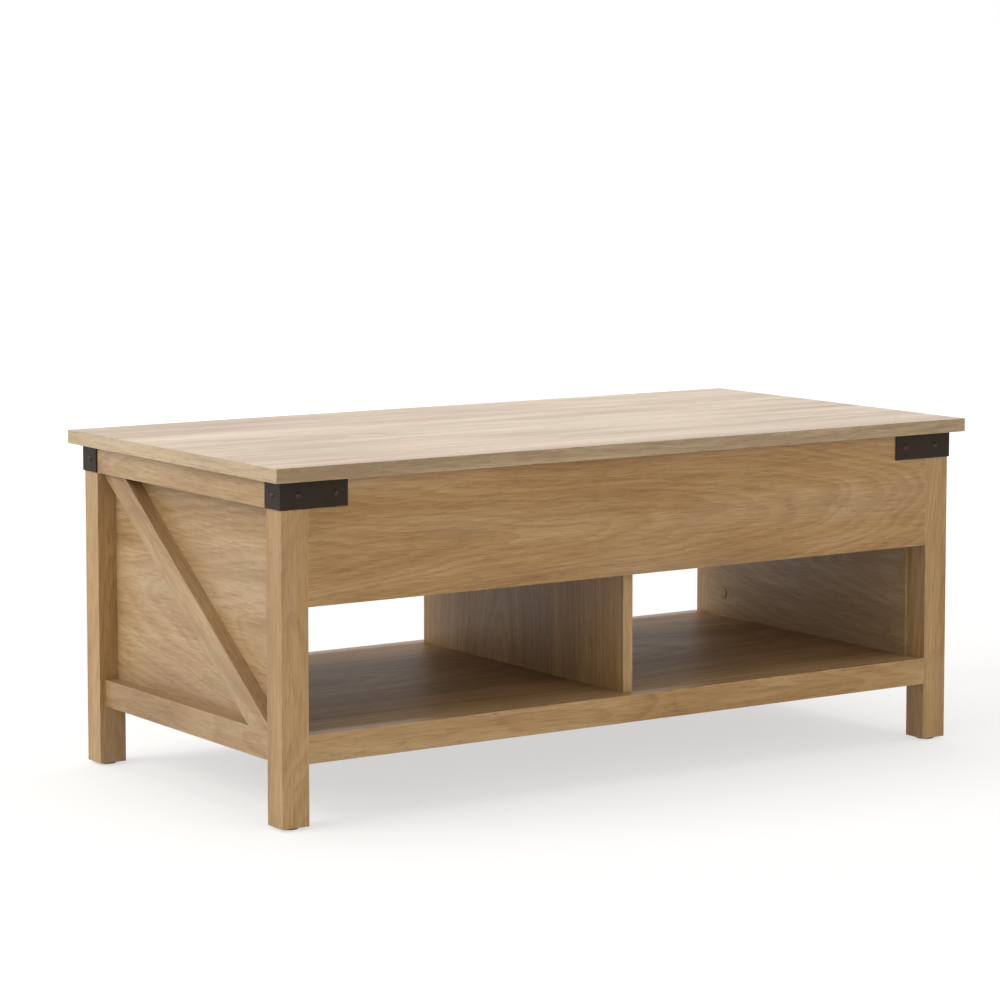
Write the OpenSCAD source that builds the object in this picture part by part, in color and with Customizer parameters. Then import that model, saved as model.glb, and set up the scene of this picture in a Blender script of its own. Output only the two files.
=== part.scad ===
// Lift top coffee table.
// Millimetres, +Z up. Origin on the floor, under the centre of the table.
// X runs along the width, -Y is the front (the side the top lifts towards).

/* [Overall] */
// Width of the top, left to right
top_w = 1100; // [900:10:1320]
// Depth of the top, front to back
top_d = 556; // [480:4:680]
// Height of the top's upper face above the floor
table_h = 450; // [400:5:560]

/* [Top] */
// Thickness of the lifting top
top_t = 18; // [15:0.5:24]
// Overhang of the top past the legs at each end
overhang_x = 16; // [8:1:30]
// Overhang of the top past the legs at front and back
overhang_y = 18; // [8:1:30]
// Gap under the closed top, filled by the rubber bumpers
lid_gap = 1; // [0.8:0.1:2]

/* [Legs and aprons] */
// Leg size along the width
leg_w = 38; // [34:1:50]
// Leg size along the depth
leg_d = 36; // [32:1:48]
// Height of the deep front and back aprons
apron_h = 156; // [145:1:180]
// Thickness of aprons and shelf rails
apron_t = 18; // [16:0.5:20]

/* [Shelf] */
// Height of the lower shelf's upper face
shelf_top_z = 116.5; // [100:0.5:130]
// Height of the rails around the shelf
rail_h = 36; // [30:1:44]
// Thickness of shelf, divider, storage floor and end panels
board_t = 15; // [14:0.5:18]
// Height of the storage floor above the aprons' lower edge
floor_lift = 2; // [0:0.5:10]

/* [Ends] */
// Recess of the end panel behind the legs' outer faces
end_recess = 27; // [20:1:30]
// Recess of the lower end rail and brace behind the legs' outer faces
end_rail_recess = 8; // [0:0.5:12]
// Height of the upper end rail
end_top_rail_h = 35; // [28:1:44]
// Width of the diagonal brace
brace_w = 36; // [28:1:44]

/* [Corner brackets] */
// Length of the strap along the front or back face
bracket_len = 94; // [70:1:120]
// Height of the bracket
bracket_h = 34.5; // [28:0.5:40]
// Thickness of the bracket's steel
bracket_t = 2; // [1.5:0.5:3]
// First screw, distance from the leg's corner
bracket_screw_a = 24; // [16:1:30]
// Second screw, distance from the strap's end
bracket_screw_end = 17; // [10:1:30]

/* [Lift mechanism] */
// Distance between the two pivots of an arm
arm_len = 200; // [170:5:220]
// Width of an arm
arm_w = 18; // [14:1:20]
// Thickness of an arm
arm_t = 3; // [2:0.5:3]
// Distance between front and rear arm pivots
arm_pitch = 90; // [75:5:100]
// Angle of the arms above level with the top closed
arm_angle = 6; // [5:0.5:8]
// Travel of the arms from closed to open
arm_travel = 112; // [90:1:116]
// Clearance between the arms' upper ends and the top rails
arm_clear = 2.5; // [1.5:0.5:5]
// Distance of the front lower pivot from the legs' front faces
pivot_setback = 70; // [60:1:90]
// Thickness of base plates and top rails
plate_t = 2.5; // [2:0.5:3]
// Pivot rivet radius
rivet_r = 4; // [3:0.5:5]
// Length of the spring between its two posts, top closed
spring_len = 130; // [115:1:140]
// Outer radius of the spring coil
spring_coil_r = 6; // [4.5:0.5:7]
// Radius of the spring wire
spring_wire_r = 0.9; // [0.7:0.1:1.2]

/* [Fittings] */
// Dowel radius
dowel_r = 4; // [3:0.5:4]
// Dowel length
dowel_len = 30; // [20:1:32]
// Radius of the cam locks
cam_r = 7.5; // [6:0.5:8]
// Wall left behind the cam locks
cam_wall = 3; // [1.5:0.5:5]
// Cam centre from the board's end
cam_setback = 34; // [24:1:40]
// Height of the floor glides
glide_h = 3; // [2:0.5:6]
// Radius of the floor glides
glide_r = 12; // [8:1:15]
// Radius of the rubber bumpers
bumper_r = 5; // [4:0.5:8]

/* [Hidden] */
$fn = 48;
eps = 0.01;
// Clearances
run_fit = 0.05;
side_fit = 0.1;
hole_fit = 0.05;
// Frame
frame_top = table_h - top_t - lid_gap;
leg_x = top_w / 2 - overhang_x;
leg_y = top_d / 2 - overhang_y;
leg_in_x = leg_x - leg_w;
leg_in_y = leg_y - leg_d;
apron_z = frame_top - apron_h;
apron_in_y = leg_y - apron_t;
rail_z = shelf_top_z - rail_h;
panel_out_x = leg_x - end_recess;
panel_in_x = panel_out_x - board_t;
end_rail_x = leg_x - end_rail_recess;
end_top_rail_z = frame_top - end_top_rail_h;
floor_z = apron_z + floor_lift;
floor_top = floor_z + board_t;
shelf_z = shelf_top_z - board_t;
// The brace fills the panel's opening from the low front corner to the high back corner
brace_rise = end_top_rail_z - shelf_top_z;
brace_diag = sqrt(pow(2 * leg_in_y, 2) + pow(brace_rise, 2));
brace_a = atan(brace_rise / (2 * leg_in_y)) + asin(brace_w / brace_diag);
brace_cut = brace_w / sin(brace_a);
// Joinery
dowel_half = dowel_len / 2;
dowel_hole_half = dowel_half + 0.5;
apron_dowel_z = [apron_z + 28, frame_top - 45];
rail_mid_z = rail_z + rail_h / 2;
end_top_dowel_z = end_top_rail_z + 9;
end_top_dowel_x = (leg_x + panel_out_x) / 2;
end_low_dowel_x = (end_rail_x + panel_out_x) / 2;
board_dowel_x = [for (k = [-0.66, -0.32, 0.32, 0.66]) k * panel_in_x];
bolt_r = 3;
bolt_head_r = 3.6;
bolt_thread = 11;
cam_slot_r = 4;
cam_depth = min(board_t, apron_t) - cam_wall;
apron_cam_z = apron_z + apron_h / 2;
panel_bolt_x = (panel_out_x + max(panel_in_x, leg_in_x)) / 2;
panel_cam_z = [shelf_top_z + 35, floor_top + 20];
divider_screw_y = [for (k = [-0.74, 0, 0.74]) k * apron_in_y];
long_screw_len = 45;
long_screw_r = 2.5;
long_head_r = 4.8;
long_head_t = 3;
// Small wood screws
screw_r = 2;
screw_len = 14;
screw_head_r = 4.2;
screw_head_t = 2.2;
bracket_screw_x = [bracket_screw_a, bracket_len - bracket_screw_end];
bracket_z = frame_top - bracket_h;
bracket_mid_z = bracket_z + bracket_h / 2;
leg_mid_y = leg_y - leg_d / 2;
leg_mid_x = leg_x - leg_w / 2;
glide_pin_r = 2;
glide_pin_len = 12;
// Mechanism, measured inward from the end panel's inner face
layer_gap = 1;
rear_u = plate_t + layer_gap;
web_u = rear_u + arm_t + layer_gap;
front_u = web_u + plate_t + layer_gap;
front_in_u = front_u + arm_t;
head_t = 1.8;
head_r = rivet_r + 3;
collar_r = rivet_r + 2;
arm_r = arm_w / 2;
eye_step = 0.6;
pivot_y = -leg_y + pivot_setback;
rear_y = pivot_y + arm_pitch;
arm_dy = arm_len * cos(arm_angle);
arm_dz = arm_len * sin(arm_angle);
upper_y = pivot_y + arm_dy;
upper_z = table_h - top_t - plate_t - arm_clear - arm_r;
pivot_z = upper_z - arm_dz;
upper_rear_y = upper_y + arm_pitch;
// Spring pin: its chord lies along Y over the whole travel
post_r = 3;
pin_drop = arm_r + post_r;
pin_y = pivot_y - pin_drop * tan(arm_travel / 2);
pin_z = pivot_z - pin_drop;
post_y = pin_y + spring_len;
post_flange_r = 5;
post_flange_t = 1.5;
spring_u = front_in_u + 2 + spring_coil_r + 1;
post_end_u = spring_u + 4;
tail_r = 7;
// Base plate outline
base_y0 = pivot_y - 26;
base_y1 = post_y + 16;
base_top = pivot_z + 15;
base_low = pivot_z - 57;
base_corner_r = 6;
base_screw_z = base_low + 12;
base_screw_y = [base_y0 + 12, base_y0 + 52, base_y0 + 98, base_y1 - 12];
// Top rail outline
flange_w = 30;
web_drop = arm_r + 4;
web_low = upper_z - web_drop;
rail_y0 = upper_y - 60;
rail_y1 = upper_rear_y + 60;
lid_under = table_h - top_t;
flange_screw_u = web_u + flange_w - 10;
flange_screw_y = [rail_y0 + 15, rail_y0 + 75, rail_y1 - 75, rail_y1 - 15];
// Stop stud on the top rail: meets the front arm's edge at full travel
stop_r = 3;
stop_reach = 30;
stop_gap = 0.3;
open_angle = arm_angle + arm_travel + 180;
stop_side = arm_r - eye_step + stop_r + stop_gap;
stop_y = upper_y + stop_reach * cos(open_angle) + stop_side * cos(open_angle + 90);
stop_z = upper_z + stop_reach * sin(open_angle) + stop_side * sin(open_angle + 90);
stop_ear_r = 6;
// Spring coil
spring_turns = 24;
coil_steps = 12;
wire_sides = 6;
coil_wire_r = spring_coil_r - spring_wire_r;
hook_r = post_r + spring_wire_r + 0.4;
hook_steps = 14;
lead_len = hook_r + 5;

oak_top = [0.80, 0.73, 0.64];
oak = [0.66, 0.54, 0.39];
oak_end = [0.70, 0.58, 0.44];
bronze = [0.16, 0.14, 0.13];
zinc = [0.62, 0.63, 0.64];
steel = [0.45, 0.46, 0.48];
beech = [0.80, 0.68, 0.50];
clear_rubber = [0.55, 0.55, 0.55];
black_plastic = [0.10, 0.10, 0.10];

// ---- helpers ----

// Places children at all four corners of the frame, mirrored from the front left
module corners() {
    for (mx = [0, 1]) for (my = [0, 1]) mirror([mx, 0, 0]) mirror([0, my, 0]) children();
}

// Places children at both ends, mirrored from the left end
module both_ends() {
    for (mx = [0, 1]) mirror([mx, 0, 0]) children();
}

// Box from low corner to high corner
module span(lo, hi) {
    translate(lo) cube(hi - lo);
}

module rod_x(x0, x1, r) {
    translate([x0, 0, 0]) rotate([0, 90, 0]) cylinder(h = x1 - x0, r = r);
}

module rod_y(y0, y1, r) {
    translate([0, y1, 0]) rotate([90, 0, 0]) cylinder(h = y1 - y0, r = r);
}

// Rod along X on the left end, given by its depths inward from the end panel
module rod_u(u0, u1, r) {
    rod_x(-panel_in_x + u0, -panel_in_x + u1, r);
}

// Dowels of the front left corner, grown for the holes
module corner_dowels(half, r) {
    for (z = apron_dowel_z) translate([-leg_in_x, -leg_y + apron_t / 2, z]) rod_x(-half, half, r);
    translate([-leg_in_x, -leg_y + apron_t / 2, rail_mid_z]) rod_x(-half, half, r);
    translate([-end_top_dowel_x, -leg_in_y, end_top_dowel_z]) rod_y(-half, half, r);
    translate([-end_low_dowel_x, -leg_in_y, rail_mid_z]) rod_y(-half, half, r);
}

// Dowels that join the shelf and the storage floor to the front rails
module board_dowels(half, r) {
    for (x = board_dowel_x) for (z = [shelf_z + board_t / 2, floor_z + board_t / 2])
        translate([x, -apron_in_y, z]) rod_y(-half, half, r);
}

module all_dowels(half, r) {
    corners() corner_dowels(half, r);
    for (my = [0, 1]) mirror([0, my, 0]) board_dowels(half, r);
}

// Bolts of the front left corner
module corner_bolts(thread, shank, r, head_r) {
    translate([-leg_in_x, -leg_y + apron_t / 2, apron_cam_z]) {
        rod_x(-thread, shank, r);
        rod_x(shank - 2, shank, head_r);
    }
    for (z = panel_cam_z) translate([-panel_bolt_x, -leg_in_y, z]) {
        rod_y(-thread, shank, r);
        rod_y(shank - 2, shank, head_r);
    }
}

// Cam discs of the front left corner, open by "out" past the board's face
module corner_cams(depth, out, r) {
    translate([-leg_in_x + cam_setback, -apron_in_y, apron_cam_z]) rod_y(-depth, out, r);
    for (z = panel_cam_z) translate([-panel_in_x, -leg_in_y + cam_setback, z]) rod_x(-depth, out, r);
}

// Everything that is bored out of the frame boards
module joinery_holes() {
    all_dowels(dowel_hole_half, dowel_r + hole_fit);
    corners() {
        corner_bolts(bolt_thread + 0.5, cam_setback, cam_slot_r, cam_slot_r);
        corner_cams(cam_depth + 0.5, 1, cam_r + hole_fit);
    }
    divider_screw_shapes(hole_fit, 0.5);
    corners() bracket_screw_shapes(hole_fit, 0.5);
    both_ends() base_screw_shapes(hole_fit, 0.5);
}

// Two rows of long screws into the divider, from under the shelf and from above the floor
module divider_screw_shapes(grow, deep) {
    for (y = divider_screw_y) {
        translate([0, y, shelf_z]) long_screw(grow, deep);
        translate([0, y, floor_top]) mirror([0, 0, 1]) long_screw(grow, deep);
    }
}

// Countersunk screw pointing up from the plane z = 0
module long_screw(grow, deep) {
    translate([0, 0, -grow]) cylinder(h = long_screw_len + deep + grow, r = long_screw_r + grow);
    translate([0, 0, -grow]) cylinder(h = long_head_t + grow * 2, r = long_head_r + grow);
}

// Wood screw pointing along +Y from the plane y = 0, its round head standing out in -Y
module face_screw(grow, deep) {
    rod_y(-bracket_t - grow, screw_len + deep, screw_r + grow);
}

module face_screw_head() {
    translate([0, -bracket_t, 0]) rotate([90, 0, 0]) pan_head();
}

// Low domed head on the plane z = 0
module pan_head() {
    dome = (screw_head_r * screw_head_r + screw_head_t * screw_head_t) / (2 * screw_head_t);
    intersection() {
        translate([0, 0, screw_head_t - dome]) sphere(r = dome, $fn = 64);
        cylinder(h = screw_head_t, r = screw_head_r);
    }
}

// The three screws of the front left bracket
module bracket_screw_shapes(grow, deep) {
    for (x = bracket_screw_x)
        translate([-leg_x + x, -leg_y, bracket_mid_z]) face_screw(grow, deep);
    translate([-leg_x, -leg_mid_y, bracket_mid_z]) rotate([0, 0, -90]) face_screw(grow, deep);
}

module bracket_screw_heads() {
    for (x = bracket_screw_x)
        translate([-leg_x + x, -leg_y, bracket_mid_z]) face_screw_head();
    translate([-leg_x, -leg_mid_y, bracket_mid_z]) rotate([0, 0, -90]) face_screw_head();
}

// Screws through the left base plate into the end panel
module base_screw_shapes(grow, deep) {
    for (y = base_screw_y) translate([-panel_in_x, y, base_screw_z])
        rod_x(-board_t + 3 - deep, plate_t + grow, screw_r + grow);
}

// ---- frame ----

module leg() {
    span([-leg_x, -leg_y, glide_h], [-leg_in_x, -leg_in_y, frame_top]);
}

module leg_at(mx, my) {
    color(oak) difference() {
        mirror([mx, 0, 0]) mirror([0, my, 0]) leg();
        joinery_holes();
        corners() glide_pin(hole_fit, 0.5);
    }
}

module leg_front_left() { leg_at(0, 0); }
module leg_front_right() { leg_at(1, 0); }
module leg_back_left() { leg_at(0, 1); }
module leg_back_right() { leg_at(1, 1); }

module apron(my) {
    color(oak) difference() {
        mirror([0, my, 0]) span([-leg_in_x, -leg_y, apron_z], [leg_in_x, -apron_in_y, frame_top]);
        joinery_holes();
    }
}

module front_apron() { apron(0); }
module back_apron() { apron(1); }

module end_panel(mx) {
    color(oak_end) difference() {
        mirror([mx, 0, 0]) span([-panel_out_x, -leg_in_y, rail_z], [-panel_in_x, leg_in_y, frame_top]);
        joinery_holes();
    }
}

module end_panel_left() { end_panel(0); }
module end_panel_right() { end_panel(1); }

module end_top_rail(mx) {
    color(oak) difference() {
        mirror([mx, 0, 0]) span([-leg_x, -leg_in_y, end_top_rail_z], [-panel_out_x, leg_in_y, frame_top]);
        joinery_holes();
    }
}

module end_top_rail_left() { end_top_rail(0); }
module end_top_rail_right() { end_top_rail(1); }

module end_bottom_rail(mx) {
    color(oak) difference() {
        mirror([mx, 0, 0]) span([-end_rail_x, -leg_in_y, rail_z], [-panel_out_x, leg_in_y, shelf_top_z]);
        joinery_holes();
    }
}

module end_bottom_rail_left() { end_bottom_rail(0); }
module end_bottom_rail_right() { end_bottom_rail(1); }

module diagonal_brace(mx) {
    color(oak_end) mirror([mx, 0, 0]) translate([-end_rail_x, 0, 0]) rotate([90, 0, 90])
        linear_extrude(end_rail_x - panel_out_x)
            polygon([[-leg_in_y, shelf_top_z], [-leg_in_y + brace_cut, shelf_top_z],
                [leg_in_y, end_top_rail_z], [leg_in_y - brace_cut, end_top_rail_z]]);
}

module diagonal_brace_left() { diagonal_brace(0); }
module diagonal_brace_right() { diagonal_brace(1); }

// Shelf or storage floor, notched round any leg that reaches inside the end panels
module board(z) {
    color(oak) difference() {
        span([-panel_in_x, -apron_in_y, z], [panel_in_x, apron_in_y, z + board_t]);
        corners() span([-leg_x, -leg_y, z - 1], [-leg_in_x, -leg_in_y, z + board_t + 1]);
        joinery_holes();
    }
}

module storage_floor() { board(floor_z); }
module shelf_panel() { board(shelf_z); }

module shelf_rail(my) {
    color(oak) difference() {
        mirror([0, my, 0]) span([-leg_in_x, -leg_y, rail_z], [leg_in_x, -apron_in_y, shelf_top_z]);
        joinery_holes();
    }
}

module shelf_front_rail() { shelf_rail(0); }
module shelf_back_rail() { shelf_rail(1); }

module center_divider() {
    color(oak_end) difference() {
        span([-board_t / 2, -apron_in_y, shelf_top_z], [board_t / 2, apron_in_y, floor_z]);
        joinery_holes();
    }
}

module top_panel() {
    color(oak_top) difference() {
        span([-top_w / 2, -top_d / 2, table_h - top_t], [top_w / 2, top_d / 2, table_h]);
        both_ends() rail_screw_shapes(hole_fit, 0.5);
    }
}

// ---- brackets and small fittings ----

module bracket(mx, my) {
    color(bronze) mirror([mx, 0, 0]) mirror([0, my, 0]) difference() {
        union() {
            span([-leg_x - bracket_t, -leg_y - bracket_t, bracket_z],
                [-leg_x + bracket_len, -leg_y, frame_top]);
            span([-leg_x - bracket_t, -leg_y - bracket_t, bracket_z], [-leg_x, -leg_in_y, frame_top]);
        }
        bracket_screw_shapes(hole_fit, 0.5);
    }
}

module bracket_front_left() { bracket(0, 0); }
module bracket_front_right() { bracket(1, 0); }
module bracket_back_left() { bracket(0, 1); }
module bracket_back_right() { bracket(1, 1); }

module bracket_screws() {
    color(bronze) corners() {
        bracket_screw_shapes(0, 0);
        bracket_screw_heads();
    }
}

module glide_pin(grow, deep) {
    translate([-leg_mid_x, -leg_mid_y, 0])
        cylinder(h = glide_h + glide_pin_len + deep, r = glide_pin_r + grow);
}

module floor_glides() {
    color(black_plastic) corners() {
        glide_pin(0, 0);
        translate([-leg_mid_x, -leg_mid_y, 0]) cylinder(h = glide_h, r = glide_r);
    }
}

module lid_bumpers() {
    color(clear_rubber) corners()
        translate([-leg_mid_x, -leg_mid_y, frame_top]) cylinder(h = lid_gap, r = bumper_r);
}

module frame_dowels() { color(beech) all_dowels(dowel_half, dowel_r); }

module cam_bolts() {
    color(zinc) corners() corner_bolts(bolt_thread, cam_setback - 1, bolt_r, bolt_head_r);
}

module cam_locks() {
    color(zinc) difference() {
        corners() corner_cams(cam_depth, 0, cam_r);
        corners() corner_bolts(bolt_thread, cam_setback, cam_slot_r, cam_slot_r);
    }
}

module divider_screws() { color(zinc) divider_screw_shapes(0, 0); }

// ---- lift mechanism, drawn for the left end and mirrored to the right ----

// Plate in the YZ plane with round corners
module round_plate(y0, y1, z0, z1, u0, u1, r) {
    x0 = -panel_in_x + u0;
    x1 = -panel_in_x + u1;
    span([x0, y0 + r, z0], [x1, y1 - r, z1]);
    span([x0, y0, z0 + r], [x1, y1, z1 - r]);
    for (y = [y0 + r, y1 - r]) for (z = [z0 + r, z1 - r])
        translate([0, y, z]) rod_u(u0, u1, r);
}

module lift_base(mx) {
    color(zinc) mirror([mx, 0, 0]) {
        difference() {
            round_plate(base_y0, base_y1, base_low, base_top, 0, plate_t, base_corner_r);
            for (y = [pivot_y, rear_y]) translate([0, y, pivot_z]) rod_u(-1, plate_t + 1, rivet_r + run_fit);
            for (y = base_screw_y) translate([0, y, base_screw_z]) rod_u(-1, plate_t + 1, screw_r + hole_fit);
        }
        translate([0, post_y, pin_z]) spring_post(plate_t);
    }
}

// Post with a flange on its end that the spring's hook sits behind
module spring_post(u0) {
    rod_u(u0 - eps, post_end_u, post_r);
    rod_u(post_end_u - post_flange_t, post_end_u, post_flange_r);
}

module lift_base_left() { lift_base(0); }
module lift_base_right() { lift_base(1); }

// Shoulder rivets: fixed in the base plate, the arm turns on them
module base_rivet(arm_u) {
    rod_u(side_fit, arm_u + arm_t + side_fit + eps, rivet_r);
    rod_u(plate_t, arm_u - side_fit, collar_r);
    rod_u(arm_u + arm_t + side_fit, arm_u + arm_t + side_fit + head_t, head_r);
}

module lift_base_rivets() {
    color(steel) both_ends() {
        translate([0, pivot_y, pivot_z]) base_rivet(front_u);
        translate([0, rear_y, pivot_z]) base_rivet(rear_u);
    }
}

module lift_base_screws() {
    color(zinc) both_ends() {
        base_screw_shapes(0, 0);
        for (y = base_screw_y) translate([-panel_in_x + plate_t, y, base_screw_z]) rotate([0, 90, 0]) pan_head();
    }
}

// Flat bar between two points of the YZ plane, with an eye at each end a little wider than it
module bar(ya, za, yb, zb, u0, u1, r) {
    len = sqrt(pow(yb - ya, 2) + pow(zb - za, 2));
    half = r - eye_step;
    translate([0, ya, za]) rod_u(u0, u1, r);
    translate([0, yb, zb]) rod_u(u0, u1, r);
    translate([0, ya, za]) rotate([atan2(zb - za, yb - ya), 0, 0])
        span([-panel_in_x + u0, 0, -half], [-panel_in_x + u1, len, half]);
}

module arm(mx, y, u, tail) {
    color(zinc) mirror([mx, 0, 0]) difference() {
        union() {
            bar(y, pivot_z, y + arm_dy, upper_z, u, u + arm_t, arm_r);
            if (tail) bar(y, pivot_z, pin_y, pin_z, u, u + arm_t, tail_r);
        }
        translate([0, y, pivot_z]) rod_u(u - 1, u + arm_t + 1, rivet_r + run_fit);
        translate([0, y + arm_dy, upper_z]) rod_u(u - 1, u + arm_t + 1, rivet_r + run_fit);
        if (tail) translate([0, pin_y, pin_z]) rod_u(u - 1, u + arm_t + 1, post_r + run_fit);
    }
}

module front_arm_left() { arm(0, pivot_y, front_u, true); }
module front_arm_right() { arm(1, pivot_y, front_u, true); }
module rear_arm_left() { arm(0, rear_y, rear_u, false); }
module rear_arm_right() { arm(1, rear_y, rear_u, false); }

module spring_pin(mx) {
    color(steel) mirror([mx, 0, 0]) translate([0, pin_y, pin_z]) {
        rod_u(front_u, post_end_u, post_r);
        rod_u(front_in_u, front_in_u + post_flange_t, post_flange_r - 0.5);
        rod_u(post_end_u - post_flange_t, post_end_u, post_flange_r);
    }
}

module spring_pin_left() { spring_pin(0); }
module spring_pin_right() { spring_pin(1); }

// Steel angle under the top: the web carries the upper pivots
module top_rail(mx) {
    color(zinc) mirror([mx, 0, 0]) difference() {
        union() {
            span([-panel_in_x + web_u, rail_y0, web_low], [-panel_in_x + web_u + plate_t, rail_y1, lid_under]);
            span([-panel_in_x + web_u, rail_y0, lid_under - plate_t],
                [-panel_in_x + web_u + flange_w, rail_y1, lid_under]);
            bar(stop_y, stop_z, stop_y, upper_z, web_u, web_u + plate_t, stop_ear_r);
            translate([0, stop_y, stop_z]) rod_u(web_u, front_in_u, stop_r);
        }
        for (y = [upper_y, upper_rear_y]) translate([0, y, upper_z])
            rod_u(web_u - 1, web_u + plate_t + 1, rivet_r + run_fit);
        rail_screw_shapes(hole_fit, 0.5);
    }
}

module top_rail_left() { top_rail(0); }
module top_rail_right() { top_rail(1); }

module rail_screw_shapes(grow, deep) {
    for (y = flange_screw_y) translate([-panel_in_x + flange_screw_u, y, lid_under - plate_t - grow])
        cylinder(h = screw_len + deep + grow, r = screw_r + grow);
}

module top_rail_screws() {
    color(zinc) both_ends() {
        rail_screw_shapes(0, 0);
        for (y = flange_screw_y) translate([-panel_in_x + flange_screw_u, y, lid_under - plate_t])
            mirror([0, 0, 1]) pan_head();
    }
}

// Upper rivets: fixed in the web, the front arm outside it and the rear arm behind it
module top_rivets() {
    color(steel) both_ends() {
        translate([0, upper_y, upper_z]) {
            rod_u(web_u + side_fit, front_in_u + side_fit + eps, rivet_r);
            rod_u(web_u + plate_t, front_u - side_fit, collar_r);
            rod_u(front_in_u + side_fit, front_in_u + side_fit + head_t, head_r);
        }
        translate([0, upper_rear_y, upper_z]) {
            rod_u(rear_u - side_fit - eps, web_u + plate_t - side_fit, rivet_r);
            rod_u(rear_u + arm_t + side_fit, web_u, collar_r);
            rod_u(rear_u - side_fit - head_t, rear_u - side_fit, head_r);
        }
    }
}

// ---- spring: one wire swept along hook, coil and hook ----

function unit(v) = v / norm(v);
spring_x = -panel_in_x + spring_u;
coil_y0 = pin_y + lead_len;
coil_y1 = post_y - lead_len;
hook_a = [for (i = [0:hook_steps])
    let (a = 60 + i * 300 / hook_steps)
    [spring_x, pin_y + hook_r * cos(a), pin_z + hook_r * sin(a)]];
coil_n = spring_turns * coil_steps;
coil = [for (i = [0:coil_n])
    let (a = i * 360 / coil_steps, y = coil_y0 + (coil_y1 - coil_y0) * i / coil_n)
    [spring_x + coil_wire_r * cos(a), y, pin_z + coil_wire_r * sin(a)]];
hook_b = [for (i = [0:hook_steps])
    let (a = 180 + i * 300 / hook_steps)
    [spring_x, post_y + hook_r * cos(a), pin_z + hook_r * sin(a)]];
wire = concat(hook_a, coil, hook_b);
wire_n = len(wire);
function tangent(i) = unit(wire[min(i + 1, wire_n - 1)] - wire[max(i - 1, 0)]);
function carried(v, t) = unit(v - (v * t) * t);
normals = [for (i = 0, n = carried([1, 0, 0], tangent(0)); i < wire_n;
    i = i + 1, n = carried(n, tangent(min(i, wire_n - 1)))) n];
rings = [for (i = [0:wire_n - 1])
    let (t = tangent(i), n = normals[i], b = cross(t, n))
    for (k = [0:wire_sides - 1])
        let (a = k * 360 / wire_sides)
        wire[i] + spring_wire_r * (cos(a) * n + sin(a) * b)];
ring_faces = [for (i = [0:wire_n - 2]) for (k = [0:wire_sides - 1])
    let (k2 = (k + 1) % wire_sides, p = i * wire_sides, q = p + wire_sides)
    [p + k, q + k, q + k2, p + k2]];
end_faces = [[for (k = [0:wire_sides - 1]) k],
    [for (k = [wire_sides - 1:-1:0]) (wire_n - 1) * wire_sides + k]];

module lift_spring(mx) {
    color(steel) mirror([mx, 0, 0]) polyhedron(points = rings, faces = concat(ring_faces, end_faces));
}

module lift_spring_left() { lift_spring(0); }
module lift_spring_right() { lift_spring(1); }

top_panel();
leg_front_left();
leg_front_right();
leg_back_left();
leg_back_right();
front_apron();
back_apron();
end_panel_left();
end_panel_right();
end_top_rail_left();
end_top_rail_right();
end_bottom_rail_left();
end_bottom_rail_right();
diagonal_brace_left();
diagonal_brace_right();
storage_floor();
shelf_panel();
shelf_front_rail();
shelf_back_rail();
center_divider();
bracket_front_left();
bracket_front_right();
bracket_back_left();
bracket_back_right();
bracket_screws();
floor_glides();
lid_bumpers();
frame_dowels();
cam_bolts();
cam_locks();
divider_screws();
lift_base_left();
lift_base_right();
lift_base_rivets();
lift_base_screws();
front_arm_left();
front_arm_right();
rear_arm_left();
rear_arm_right();
spring_pin_left();
spring_pin_right();
lift_spring_left();
lift_spring_right();
top_rail_left();
top_rail_right();
top_rivets();
top_rail_screws();
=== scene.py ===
"""Lift top coffee table: finishes, springs, floor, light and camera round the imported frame.

Metres, +Z up, the front faces -Y.
"""
import math

import bmesh
import bpy
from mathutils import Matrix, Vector


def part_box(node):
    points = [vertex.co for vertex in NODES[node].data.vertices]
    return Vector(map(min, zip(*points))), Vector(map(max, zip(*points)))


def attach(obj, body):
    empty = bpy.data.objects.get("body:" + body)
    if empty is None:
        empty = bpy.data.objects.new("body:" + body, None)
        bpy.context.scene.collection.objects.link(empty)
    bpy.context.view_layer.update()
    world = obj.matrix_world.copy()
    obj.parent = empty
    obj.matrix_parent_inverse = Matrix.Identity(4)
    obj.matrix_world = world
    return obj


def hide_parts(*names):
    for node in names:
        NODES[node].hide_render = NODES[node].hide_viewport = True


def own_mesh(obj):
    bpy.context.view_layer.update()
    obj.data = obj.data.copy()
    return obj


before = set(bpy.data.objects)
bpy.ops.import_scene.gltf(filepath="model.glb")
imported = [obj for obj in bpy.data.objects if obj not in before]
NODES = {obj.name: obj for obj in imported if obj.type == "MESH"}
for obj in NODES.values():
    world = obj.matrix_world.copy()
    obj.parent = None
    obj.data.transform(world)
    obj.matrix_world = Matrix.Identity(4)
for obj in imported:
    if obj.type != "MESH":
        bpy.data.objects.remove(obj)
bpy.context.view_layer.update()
AXES = {"x": 0, "y": 1, "z": 2}


def srgb(red, green, blue):
    """A colour written as 0 to 255 in sRGB, as the linear colour Blender wants."""
    def linear(c):
        c /= 255
        return c / 12.92 if c <= 0.04045 else ((c + 0.055) / 1.055) ** 2.4
    return (linear(red), linear(green), linear(blue), 1.0)


# ---- shader building ----

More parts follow.
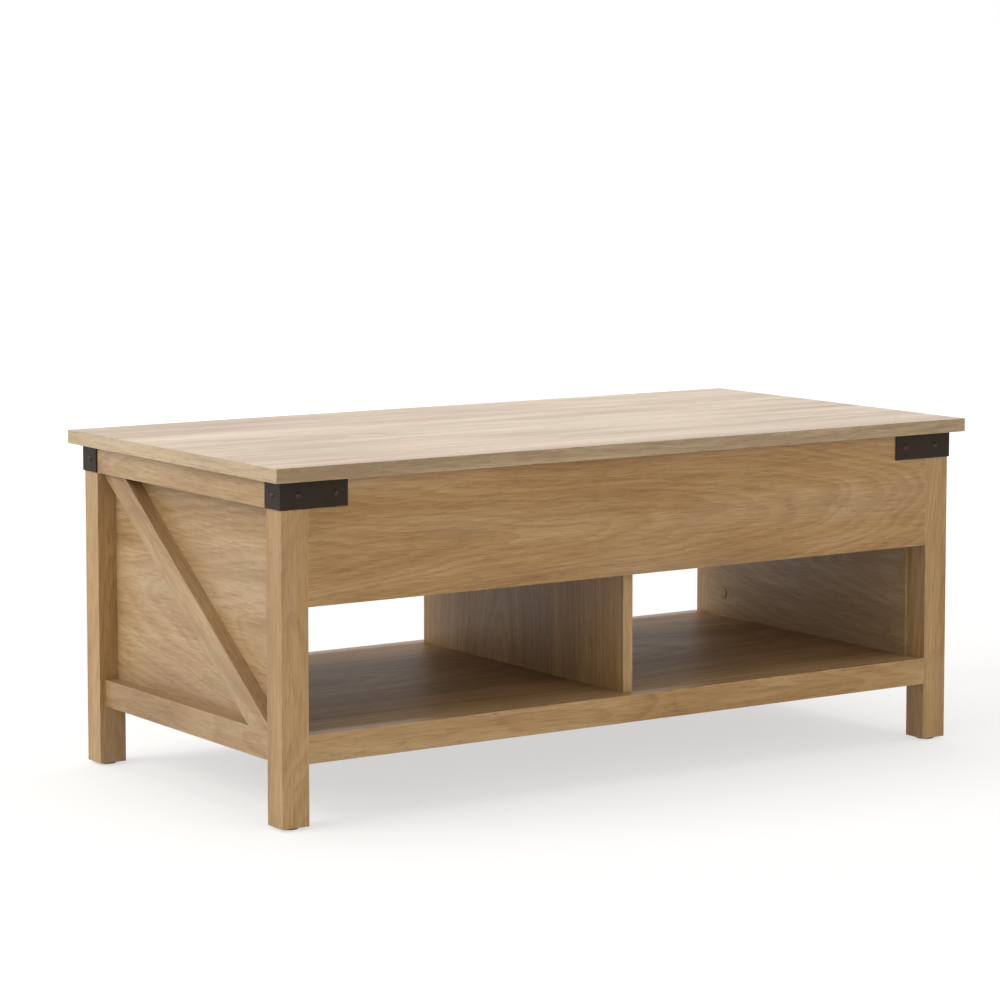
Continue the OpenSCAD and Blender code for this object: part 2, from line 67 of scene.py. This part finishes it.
class Shader:
    """One material's node tree, built by short calls."""

    def __init__(self, name):
        self.material = bpy.data.materials.new(name)
        self.material.use_nodes = True
        self.tree = self.material.node_tree
        self.tree.nodes.clear()

    def node(self, kind, inputs=(), **props):
        made = self.tree.nodes.new("ShaderNode" + kind)
        for key, value in props.items():
            setattr(made, key, value)
        for socket, value in dict(inputs).items():
            self.feed(made.inputs[socket], value)
        return made

    def feed(self, socket, value):
        if isinstance(value, bpy.types.NodeSocket):
            self.tree.links.new(value, socket)
        else:
            socket.default_value = value

    def math(self, operation, *values):
        made = self.node("Math", operation=operation)
        for i, value in enumerate(values):
            self.feed(made.inputs[i], value)
        return made.outputs[0]

    def add(self, a, b):
        return self.math("ADD", a, b)

    def times(self, a, b):
        return self.math("MULTIPLY", a, b)

    def vector(self, operation, a, b):
        made = self.node("VectorMath", operation=operation)
        self.feed(made.inputs[0], a)
        self.feed(made.inputs[1], b)
        return made.outputs[0]

    def separate(self, v):
        return self.node("SeparateXYZ", {0: v}).outputs

    def combine(self, x, y, z):
        return self.node("CombineXYZ", {0: x, 1: y, 2: z}).outputs[0]

    def noise(self, v, stretch=(1, 1, 1), detail=2.0, roughness=0.5):
        """Noise from 0 to 1, its features 1 / stretch metres long on each axis."""
        made = self.node("TexNoise", {"Vector": self.vector("MULTIPLY", v, stretch),
                                      "Scale": 1.0, "Detail": detail,
                                      "Roughness": roughness})
        return made.outputs["Fac"]

    def smooth(self, value, low, high, to_low=0.0, to_high=1.0):
        made = self.node("MapRange", {"Value": value, "From Min": low, "From Max": high,
                                      "To Min": to_low, "To Max": to_high},
                         interpolation_type="SMOOTHSTEP")
        return made.outputs["Result"]

    def mix(self, factor, a, b, blend="MIX"):
        made = self.node("Mix", data_type="RGBA", blend_type=blend)
        self.feed(made.inputs[0], factor)
        self.feed(made.inputs[6], a)
        self.feed(made.inputs[7], b)
        return made.outputs[2]

    def ramp(self, factor, *stops):
        made = self.node("ValToRGB", {0: factor})
        elements = made.color_ramp.elements
        while len(elements) < len(stops):
            elements.new(0.5)
        for element, (place, colour) in zip(elements, stops):
            element.position = place
            element.color = colour
        return made.outputs[0]

    def place(self):
        """The point on the piece in the row frame, at rest."""
        return self.node("TexCoord").outputs["Object"]

    def bump(self, height, depth, strength, rounding=0.0003):
        """Relief on top of edges that look rounded by the radius rounding."""
        edges = self.node("Bevel", {"Radius": rounding}, samples=4).outputs[0]
        made = self.node("Bump", {"Strength": strength, "Distance": depth,
                                  "Height": height, "Normal": edges})
        return made.outputs[0]

    def surface(self, colour, roughness, normal=None, metallic=0.0, **uniform):
        inputs = {"Base Color": colour, "Roughness": roughness, "Metallic": metallic}
        inputs.update(uniform)
        if normal is not None:
            inputs["Normal"] = normal
        shader = self.node("BsdfPrincipled", inputs)
        self.tree.links.new(shader.outputs[0],
                            self.node("OutputMaterial").inputs["Surface"])
        return self.material


# ---- oak laminate ----

FRAME_OAK = (srgb(140, 103, 58), srgb(164, 128, 79), srgb(184, 152, 108))
# End parts' palette: their laminate tone, partly made greyer and paler as painted sheen.
PANEL_OAK_AND_PAINTED_SHEEN = (srgb(140, 108, 68), srgb(163, 133, 93), srgb(184, 157, 121))
# Top face palette: the top laminate's tone, made paler by painted sheen.
TOP_OAK_PAINTED_SHEEN = (srgb(160, 132, 97), srgb(186, 161, 128), srgb(206, 186, 157))
EDGE_OAK = (srgb(146, 121, 89), srgb(171, 147, 114), srgb(190, 169, 138))
BOARD_OAK = (srgb(124, 92, 56), srgb(150, 118, 78), srgb(172, 142, 104))


def grain_space(s, node, order, turn, banded):
    """Coordinates along the grain and twice across it, from the middle of the node.
    On a banded board the grain of the two end faces runs along them."""
    low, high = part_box(node)
    middle = (low + high) / 2
    place = s.vector("SUBTRACT", s.place(), middle)
    if banded:
        x, y, z = s.separate(place)
        end = s.math("ABSOLUTE", s.separate(s.node("TexCoord").outputs["Normal"])[0])
        made = s.node("Mix", data_type="VECTOR")
        s.feed(made.inputs[0], s.math("GREATER_THAN", end, 0.7))
        s.feed(made.inputs[4], place)
        s.feed(made.inputs[5], s.combine(y, x, z))
        place = made.outputs[1]
    if turn:
        place = s.node("VectorRotate", {"Vector": place, "Angle": turn},
                       rotation_type="X_AXIS").outputs[0]
    parts = s.separate(place)
    return [parts[AXES[letter]] for letter in order]


def growth_rings(s, seeded, along, across, deep, pith, slope, ring):
    """Dark and light growth bands: arches where the heart leaves the board at a slant."""
    low = s.vector("MULTIPLY", seeded, (1.3, 5.0, 5.0))
    wander = s.node("TexNoise", {"Vector": low, "Scale": 1.0, "Detail": 3.0})
    sway = s.separate(wander.outputs["Color"])
    side = s.add(s.add(across, -pith[0]), s.times(s.add(sway[0], -0.5), 0.09))
    depth = s.add(s.add(deep, pith[1]), s.times(along, slope))
    depth = s.add(depth, s.times(s.add(sway[1], -0.5), 0.10))
    radius = s.math("SQRT", s.add(s.times(side, side), s.times(depth, depth)))
    knot = knots(s, seeded)
    radius = s.add(radius, s.times(knot, 0.022))
    count = s.math("DIVIDE", radius, ring)
    uneven = s.node("TexNoise", {"W": s.times(count, 0.55), "Scale": 1.0, "Detail": 2.0},
                    noise_dimensions="1D").outputs["Fac"]
    count = s.add(count, s.times(uneven, 2.2))
    phase = s.math("FRACT", count)
    rise = s.smooth(phase, 0.0, 0.22)
    fall = s.smooth(phase, 0.35, 1.0, 1.0, 0.25)
    band = s.times(s.times(rise, fall), s.smooth(uneven, 0.3, 0.7, 0.45, 1.0))
    return band, knot


def knots(s, seeded):
    """A few knots: 1 at the heart of one, falling to 0 a few centimetres out."""
    cells = s.node("TexVoronoi", {"Vector": s.vector("MULTIPLY", seeded, (3.4, 7.5, 7.5)),
                                  "Scale": 1.0, "Randomness": 0.9})
    picked = s.smooth(s.separate(cells.outputs["Color"])[0], 0.70, 0.74)
    return s.times(s.smooth(cells.outputs["Distance"], 0.34, 0.0), picked)


def edge_distance(s, node):
    """How far a point of a box-shaped board is from its nearest edge, in metres."""
    low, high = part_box(node)
    half = (high - low) / 2
    away = s.vector("SUBTRACT", s.place(), (low + high) / 2)
    away = s.vector("SUBTRACT", half, s.vector("ABSOLUTE", away, (0, 0, 0)))
    x, y, z = s.separate(away)
    low_xy, high_xy = s.math("MINIMUM", x, y), s.math("MAXIMUM", x, y)
    return s.math("MAXIMUM", low_xy, s.math("MINIMUM", high_xy, z))


def oak(node, order, palette, seed, pith=(0.0, 0.07), slope=0.07, ring=0.0065,
        turn=0.0, side_palette=None, gloss=0.40, fleck=0.0, sheen=0.42, contrast=1.0):
    """Oak-look laminate. order names the axes along the grain, across it and into the board."""
    s = Shader("oak_" + node)
    along, across, deep = grain_space(s, node, order, turn, bool(side_palette))
    seeded = s.combine(s.add(along, seed * 0.731), s.add(across, seed * 0.517),
                       s.add(deep, seed * 0.293))
    band, knot = growth_rings(s, seeded, along, across, deep, pith, slope, ring)
    streak = s.noise(seeded, (1.5, 21, 21), 4.0, 0.62)
    cloud = s.noise(seeded, (3.2, 8, 8), 2.0)
    stroke = s.noise(seeded, (30, 400, 400), 3.0, 0.6)
    fibre = s.noise(seeded, (9, 360, 360), 3.0, 0.65)
    hair = s.noise(seeded, (60, 1500, 1500), 2.0)
    pore = s.smooth(s.noise(seeded, (45, 760, 760), 1.0), 0.58, 0.70)
    ray = s.times(s.smooth(s.noise(seeded, (240, 13, 13), 1.0), 0.50, 0.72),
                  s.smooth(s.noise(seeded, (6, 9, 9), 2.0), 0.54, 0.74))
    tone = s.add(s.times(s.add(streak, -0.5), 1.2 * contrast),
                 s.times(s.add(cloud, -0.5), 0.9))
    tone = s.add(tone, s.times(s.add(band, -0.45), 0.28))
    tone = s.add(tone, s.times(s.add(stroke, -0.5), 0.75))
    tone = s.add(tone, s.times(s.add(fibre, -0.5), 0.55))
    tone = s.add(s.add(tone, s.times(s.add(hair, -0.5), 0.25)), 0.5)
    tone = s.add(tone, s.times(ray, 0.30 * fleck))
    colour = s.ramp(tone, *zip((0.10, 0.50, 0.92), palette))
    # Upward faces take palette and all others side_palette. On the top panel this paints its
    # top face paler than its edges, a painted sheen.
    if side_palette:
        sides = s.ramp(tone, *zip((0.10, 0.50, 0.92), side_palette))
        up = s.math("ABSOLUTE", s.separate(s.node("TexCoord").outputs["Normal"])[2])
        colour = s.mix(s.smooth(up, 0.4, 0.7), sides, colour)
    grey = s.smooth(s.noise(seeded, (2.2, 13, 13), 2.0), 0.42, 0.66)
    colour = s.mix(s.times(grey, 0.18), colour, srgb(170, 148, 124))
    colour = s.mix(s.times(pore, 0.34), colour, srgb(104, 76, 46))
    colour = s.mix(s.times(s.math("POWER", knot, 3.0), 0.55), colour, srgb(92, 62, 36))
    rim = s.smooth(edge_distance(s, node), 0.0035, 0.0002)
    scuffed = s.times(rim, s.smooth(s.noise(seeded, (60, 60, 60), 3.0), 0.40, 0.66))
    colour = s.mix(s.times(scuffed, 0.16), colour, srgb(206, 184, 152))
    relief = s.add(s.times(fibre, 0.7), s.times(pore, -0.6))
    rough = s.add(s.times(s.add(fibre, -0.5), 0.16), s.add(s.times(band, -0.05), gloss))
    return s.surface(colour, rough, s.bump(relief, 0.00025, 0.35, 0.0009),
                     **{"Specular IOR Level": sheen})


# ---- metal, rubber and plastic ----

def strap_metal():
    """Dark bronze powder coat, its brown partly painted reflection: fine orange peel, faint
    mottling, rubbed edges.
    """
    s = Shader("bracket_bronze_painted_reflection")
    place = s.place()
    mottle = s.noise(place, (60, 60, 60), 4.0, 0.6)
    peel = s.noise(place, (1400, 1400, 1400), 2.0)
    low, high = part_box("bracket_front_left")
    level = s.add(s.separate(place)[2], -(low.z + high.z) / 2)
    lip = s.smooth(s.math("ABSOLUTE", level), (high.z - low.z) / 2 - 0.0016,
                   (high.z - low.z) / 2)
    rubbed = s.times(lip, s.smooth(mottle, 0.42, 0.62))
    # The brown of these colours is partly the coat's own and partly painted reflection.
    colour = s.mix(mottle, srgb(27, 18, 9), srgb(50, 37, 20))
    colour = s.mix(s.times(rubbed, 0.5), colour, srgb(104, 84, 62))
    rough = s.smooth(mottle, 0.3, 0.7, 0.40, 0.56)
    return s.surface(colour, rough, s.bump(peel, 0.00006, 0.5, 0.0012),
                     **{"Specular IOR Level": 0.22})


def screw_metal():
    """Blackened screw: a shade browner than the strap, worn bright on its crown."""
    s = Shader("screw_black")
    scratch = s.noise(s.place(), (500, 500, 500), 3.0, 0.7)
    colour = s.mix(s.smooth(scratch, 0.35, 0.7), srgb(46, 40, 35), srgb(86, 74, 62))
    return s.surface(colour, s.smooth(scratch, 0.3, 0.7, 0.34, 0.52),
                     s.bump(scratch, 0.00004, 0.4), 0.8)


def plated(name, dark, light, stretch, roughness, metallic=0.9):
    """Plated or bare steel with rolling lines and a cloudy passivation."""
    s = Shader(name)
    place = s.place()
    lines = s.noise(place, stretch, 3.0, 0.6)
    cloud = s.noise(place, (45, 45, 45), 3.0, 0.55)
    tone = s.add(s.times(lines, 0.6), s.times(cloud, 0.5))
    colour = s.ramp(tone, (0.35, dark), (0.72, light))
    rough = s.add(s.times(s.add(cloud, -0.5), 0.22), roughness)
    return s.surface(colour, rough, s.bump(lines, 0.00004, 0.3), metallic)


def soft_plastic(name, dark, light, roughness):
    """Moulded plastic or rubber with a fine matte texture."""
    s = Shader(name)
    fine = s.noise(s.place(), (1100, 1100, 1100), 2.0)
    cloud = s.noise(s.place(), (70, 70, 70), 2.0)
    colour = s.mix(cloud, dark, light)
    return s.surface(colour, s.smooth(fine, 0.3, 0.7, roughness - 0.06, roughness + 0.08),
                     s.bump(fine, 0.00005, 0.4))


# ---- CAD nodes and their finishes ----

def finish_node(name, material):
    piece = NODES[name]
    piece.data.materials.clear()
    piece.data.materials.append(material)


def brace_turn():
    """Angle that lays the brace's own grain along Y: it runs from corner to corner."""
    low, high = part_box("diagonal_brace_left")
    return -math.atan2(high.z - low.z, high.y - low.y)


def finish_wood():
    finish_node("top_panel", oak("top_panel", "xyz", TOP_OAK_PAINTED_SHEEN, 3, pith=(0.05, 0.30),
                                 slope=0.02, ring=0.012, side_palette=EDGE_OAK,
                                 gloss=0.34, sheen=0.5, contrast=1.7))
    finish_node("front_apron", oak("front_apron", "xzy", FRAME_OAK, 11,
                                   pith=(-0.01, 0.075), slope=0.10))
    finish_node("back_apron", oak("back_apron", "xzy", FRAME_OAK, 12,
                                  pith=(0.01, 0.08), slope=-0.09))
    for i, name in enumerate(("leg_front_left", "leg_front_right",
                              "leg_back_left", "leg_back_right")):
        finish_node(name, oak(name, "zxy", FRAME_OAK, 20 + i, pith=(0.02, 0.05),
                              slope=0.10, ring=0.005, sheen=0.46))
    for i, end in enumerate(("left", "right")):
        finish_node("end_panel_" + end, oak("end_panel_" + end, "yzx", PANEL_OAK_AND_PAINTED_SHEEN, 31 + i,
                                            pith=(-0.02, 0.09), slope=0.16,
                                            ring=0.009))
        finish_node("end_top_rail_" + end, oak("end_top_rail_" + end, "yzx", PANEL_OAK_AND_PAINTED_SHEEN,
                                               41 + i, slope=0.05))
        finish_node("end_bottom_rail_" + end, oak("end_bottom_rail_" + end, "yzx",
                                                  PANEL_OAK_AND_PAINTED_SHEEN, 51 + i, slope=0.05))
        finish_node("diagonal_brace_" + end, oak("diagonal_brace_" + end, "yzx",
                                                 PANEL_OAK_AND_PAINTED_SHEEN, 61 + i, slope=0.05,
                                                 turn=brace_turn()))
    for i, side in enumerate(("front", "back")):
        name = "shelf_%s_rail" % side
        finish_node(name, oak(name, "xzy", FRAME_OAK, 71 + i, slope=0.05))
    finish_node("shelf_panel", oak("shelf_panel", "xyz", BOARD_OAK, 81,
                                   pith=(0.04, 0.12), slope=0.08, ring=0.009,
                                   gloss=0.52, sheen=0.15))
    finish_node("storage_floor", oak("storage_floor", "xyz", BOARD_OAK, 83,
                                     pith=(-0.05, 0.12), slope=0.08, ring=0.009,
                                     gloss=0.52, sheen=0.15))
    finish_node("center_divider", oak("center_divider", "zyx", FRAME_OAK, 91,
                                      pith=(0.05, 0.08), slope=0.10))


def finish_fittings():
    strap = strap_metal()
    for corner in ("front_left", "front_right", "back_left", "back_right"):
        finish_node("bracket_" + corner, strap)
    finish_node("bracket_screws", screw_metal())
    zinc = plated("zinc_plate", srgb(150, 152, 156), srgb(196, 198, 202),
                  (20, 260, 260), 0.34)
    arm = plated("arm_steel", srgb(138, 142, 148), srgb(188, 192, 198),
                 (300, 30, 30), 0.30)
    rivet = plated("rivet_steel", srgb(120, 122, 126), srgb(172, 174, 178),
                   (500, 500, 500), 0.28)
    cast = plated("cast_zinc", srgb(142, 143, 146), srgb(182, 183, 186),
                  (700, 700, 700), 0.42)
    for name in ("lift_base_left", "lift_base_right", "top_rail_left", "top_rail_right"):
        finish_node(name, zinc)
    for name in ("front_arm_left", "front_arm_right", "rear_arm_left", "rear_arm_right"):
        finish_node(name, arm)
    for name in ("lift_base_rivets", "top_rivets", "spring_pin_left", "spring_pin_right"):
        finish_node(name, rivet)
    for name in ("lift_base_screws", "top_rail_screws", "divider_screws", "cam_bolts"):
        finish_node(name, rivet)
    finish_node("cam_locks", cast)
    beech = plated("dowel_beech", srgb(190, 160, 120), srgb(220, 196, 158),
                   (60, 900, 900), 0.6, 0.0)
    finish_node("frame_dowels", beech)
    finish_node("lid_bumpers", soft_plastic("bumper_rubber", srgb(150, 150, 148),
                                            srgb(176, 176, 172), 0.45))
    finish_node("floor_glides", soft_plastic("glide_plastic", srgb(24, 24, 25),
                                             srgb(38, 38, 39), 0.5))


# ---- springs ----

WIRE = 0.0009
HOOK = 0.0043
HOOK_LONG = 0.0053
LEAD = 0.0093
TURNS = 24


def spring_path(low, high):
    """The wire's centreline from hook to hook, along the CAD spring's box. The hooks are
    longer than they are high, so that they still clear their pins when they shorten. The
    coil leaves them on its outer side, away from the flanges of the pins."""
    x, z = (low.x + high.x) / 2, (low.z + high.z) / 2
    coil = (high.z - low.z) / 2 - WIRE
    outward = math.copysign(coil, x)
    start, end = low.y + HOOK + WIRE, high.y - HOOK - WIRE
    hooks = []
    for middle, first in ((start, 60), (end, 180)):
        turns = [math.radians(first + 300 * i / 28) for i in range(29)]
        hooks.append([Vector((x, middle + HOOK_LONG * math.cos(a),
                              z + HOOK * math.sin(a))) for a in turns])
    steps = TURNS * 28
    body = []
    for i in range(steps + 1):
        share = i / steps
        a = math.tau * TURNS * share
        y = start + LEAD + (end - start - 2 * LEAD) * share
        body.append(Vector((x + outward * math.cos(a), y, z + coil * math.sin(a))))
    return hooks[0] + body + hooks[1]


def sweep(name, path, radius, sides=10):
    """A round wire along path, closed at both ends."""
    points, faces = [], []
    normal = Vector((1, 0, 0))
    for i, middle in enumerate(path):
        along = (path[min(i + 1, len(path) - 1)] - path[max(i - 1, 0)]).normalized()
        normal = (normal - along * normal.dot(along)).normalized()
        side = along.cross(normal)
        for k in range(sides):
            a = math.tau * k / sides
            points.append(middle + radius * (math.cos(a) * normal + math.sin(a) * side))
    for i in range(len(path) - 1):
        for k in range(sides):
            a, b = i * sides + k, i * sides + (k + 1) % sides
            faces.append((a, b, b + sides, a + sides))
    faces.append(tuple(range(sides))[::-1])
    faces.append(tuple(range(len(points) - sides, len(points))))
    return mesh_piece(name, points, faces)


def mesh_piece(name, points, faces):
    """A smooth-shaded object from points and faces."""
    mesh = bpy.data.meshes.new(name)
    mesh.from_pydata(points, [], faces)
    mesh.polygons.foreach_set("use_smooth", [True] * len(faces))
    mesh.update()
    piece = bpy.data.objects.new(name, mesh)
    bpy.context.scene.collection.objects.link(piece)
    return piece


def spring_steel():
    """Drawn wire: drawing lines along it, a dark oil film in patches."""
    s = Shader("spring_wire")
    place = s.place()
    lines = s.noise(place, (1800, 1800, 1800), 2.0)
    film = s.noise(place, (110, 110, 110), 3.0)
    colour = s.ramp(s.add(s.times(lines, 0.35), s.times(film, 0.65)),
                    (0.35, srgb(86, 88, 92)), (0.70, srgb(154, 157, 162)))
    return s.surface(colour, s.smooth(film, 0.3, 0.7, 0.24, 0.42),
                     s.bump(lines, 0.00003, 0.3), 0.95)


def springs():
    """Finer springs in place of the CAD ones, parented to the case: they keep their rest length
    as the arms turn.
    """
    wire = spring_steel()
    for end in ("left", "right"):
        node = "lift_spring_" + end
        low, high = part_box(node)
        piece = sweep("spring_" + end, spring_path(low, high), WIRE)
        piece.data.materials.append(wire)
        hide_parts(node)
        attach(piece, "case")
        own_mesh(piece)


# ---- caps over the cam locks ----

def loose_boxes(node):
    """Lowest and highest corner of each separate solid of a node."""
    made = bmesh.new()
    made.from_mesh(NODES[node].data)
    bmesh.ops.remove_doubles(made, verts=made.verts, dist=0.00001)
    boxes, left = [], set(made.verts)
    while left:
        found, edge = [], [left.pop()]
        while edge:
            vert = edge.pop()
            found.append(vert.co.copy())
            for link in vert.link_edges:
                other = link.other_vert(vert)
                if other in left:
                    left.discard(other)
                    edge.append(other)
        boxes.append([Vector([pick(p[i] for p in found) for i in range(3)])
                      for pick in (min, max)])
    made.free()
    return boxes


def cap_material():
    """Oak-coloured cap: moulded, with a faint printed grain."""
    s = Shader("cap_oak")
    grain = s.noise(s.place(), (120, 120, 700), 3.0)
    colour = s.mix(grain, srgb(142, 108, 68), srgb(170, 137, 94))
    fine = s.noise(s.place(), (1300, 1300, 1300), 2.0)
    return s.surface(colour, s.smooth(grain, 0.3, 0.7, 0.42, 0.54),
                     s.bump(fine, 0.00004, 0.3))


def cap_profile():
    """Radius and height of the cap's section, from its rim to its middle."""
    return ((0.0084, 0.0), (0.0084, 0.0004), (0.0081, 0.0007), (0.0072, 0.00085),
            (0.0040, 0.0009), (0.0006, 0.00092))


def cam_caps():
    """One low round cap over each cam lock, on the face it opens to."""
    points, faces, sides = [], [], 40
    for low, high in loose_boxes("cam_locks"):
        size, middle = high - low, (low + high) / 2
        axis = min((0, 1), key=lambda i: size[i])
        out = Vector((0, 0, 0))
        out[axis] = -math.copysign(1, middle[axis])
        seat = middle + out * size[axis] / 2
        across, up = Vector((0, 0, 1)).cross(out), Vector((0, 0, 1))
        first = len(points)
        for radius, height in cap_profile():
            for k in range(sides):
                a = math.tau * k / sides
                ring = across * math.cos(a) + up * math.sin(a)
                points.append(seat + out * height + ring * radius)
        rows = len(cap_profile())
        for row in range(rows - 1):
            for k in range(sides):
                a = first + row * sides + k
                b = first + row * sides + (k + 1) % sides
                faces.append((a, b, b + sides, a + sides))
        last = first + (rows - 1) * sides
        faces.append(tuple(range(last, last + sides)))
        faces.append(tuple(range(first, first + sides))[::-1])
    piece = mesh_piece("cam_caps", points, faces)
    piece.data.materials.append(cap_material())
    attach(piece, "case")


# ---- floor, light and camera ----

def floor():
    """Wide pale floor: white to the camera, and it keeps the table's shadow."""
    bpy.ops.mesh.primitive_circle_add(vertices=96, radius=60, fill_type="NGON",
                                      location=(0, 0, -0.0005))
    ground = bpy.context.object
    ground.name = "floor"
    s = Shader("floor_white")
    speck = s.noise(s.place(), (3, 3, 3), 2.0)
    shade = s.node("BsdfDiffuse", {"Color": s.mix(speck, srgb(228, 227, 225),
                                                  srgb(232, 231, 229))})
    glow = s.node("Emission", {"Color": (1, 1, 1, 1), "Strength": 1.2})
    plain = s.node("Emission", {"Color": (1, 1, 1, 1), "Strength": 1.0})
    seen = s.node("LightPath").outputs
    away = s.node("VectorMath", {0: s.place()}, operation="LENGTH").outputs["Value"]
    far = s.smooth(away, 1.0, 2.6, 0.50, 1.0)
    near_mix = s.node("MixShader", {0: s.times(seen["Is Camera Ray"], far),
                                    1: shade.outputs[0], 2: glow.outputs[0]})
    mirrored = s.node("MixShader", {0: s.times(seen["Is Glossy Ray"], 0.6),
                                    1: near_mix.outputs[0], 2: plain.outputs[0]})
    s.tree.links.new(mirrored.outputs[0], s.node("OutputMaterial").inputs["Surface"])
    ground.data.materials.append(s.material)


def world_light():
    """An even studio surround: plain white to the camera and in reflections."""
    world = bpy.data.worlds.new("studio")
    bpy.context.scene.world = world
    world.use_nodes = True
    tree = world.node_tree
    tree.nodes.clear()
    path = tree.nodes.new("ShaderNodeLightPath")
    seen = tree.nodes.new("ShaderNodeMath")
    seen.operation = "MAXIMUM"
    tree.links.new(path.outputs["Is Camera Ray"], seen.inputs[0])
    tree.links.new(path.outputs["Is Glossy Ray"], seen.inputs[1])
    through = tree.nodes.new("ShaderNodeMath")
    through.operation = "MAXIMUM"
    tree.links.new(seen.outputs[0], through.inputs[0])
    tree.links.new(path.outputs["Is Transmission Ray"], through.inputs[1])
    soft = tree.nodes.new("ShaderNodeBackground")
    soft.inputs["Color"].default_value = (1.0, 0.98, 0.95, 1)
    soft.inputs["Strength"].default_value = 0.62
    plain = tree.nodes.new("ShaderNodeBackground")
    plain.inputs["Color"].default_value = (1, 1, 1, 1)
    plain.inputs["Strength"].default_value = 1.0
    mixed = tree.nodes.new("ShaderNodeMixShader")
    out = tree.nodes.new("ShaderNodeOutputWorld")
    tree.links.new(through.outputs[0], mixed.inputs[0])
    tree.links.new(soft.outputs[0], mixed.inputs[1])
    tree.links.new(plain.outputs[0], mixed.inputs[2])
    tree.links.new(mixed.outputs[0], out.inputs["Surface"])


def softbox(name, place, aim, size, power, colour=(1, 1, 1)):
    lamp = bpy.data.lights.new(name, "AREA")
    lamp.shape = "RECTANGLE"
    lamp.size, lamp.size_y = size
    lamp.energy = power
    lamp.color = colour
    made = bpy.data.objects.new(name, lamp)
    bpy.context.scene.collection.objects.link(made)
    made.location = place
    made.rotation_euler = (Vector(aim) - Vector(place)).to_track_quat("-Z", "Y").to_euler()
    return made


def lamps():
    aim = (0, 0, 0.25)
    softbox("window", (-3.4, 0.4, 2.3), aim, (2.6, 2.2), 74, (1.0, 0.985, 0.96))
    softbox("sky", (0.3, 0.9, 3.4), aim, (3.2, 2.4), 42)
    low = softbox("fill", (1.0, -4.2, 1.6), aim, (2.6, 1.8), 34, (1.0, 0.98, 0.95))
    # Seen low across the top from behind, its reflection would wash the oak out to white.
    low.visible_glossy = False


def camera():
    """Long lens at eye height beside the table, looking a little down."""
    data = bpy.data.cameras.new("camera")
    data.sensor_width = 36.0
    data.lens = 120.888
    data.shift_y = -0.1
    data.clip_end = 200
    made = bpy.data.objects.new("camera", data)
    bpy.context.scene.collection.objects.link(made)
    made.location = (-2.56614, -3.75952, 0.91503)
    made.rotation_euler = (math.pi / 2 - 0.0947, 0, -0.5918)
    bpy.context.scene.camera = made


finish_wood()
finish_fittings()
springs()
cam_caps()
floor()
world_light()
lamps()
camera()
bpy.context.scene.view_settings.view_transform = "Standard"
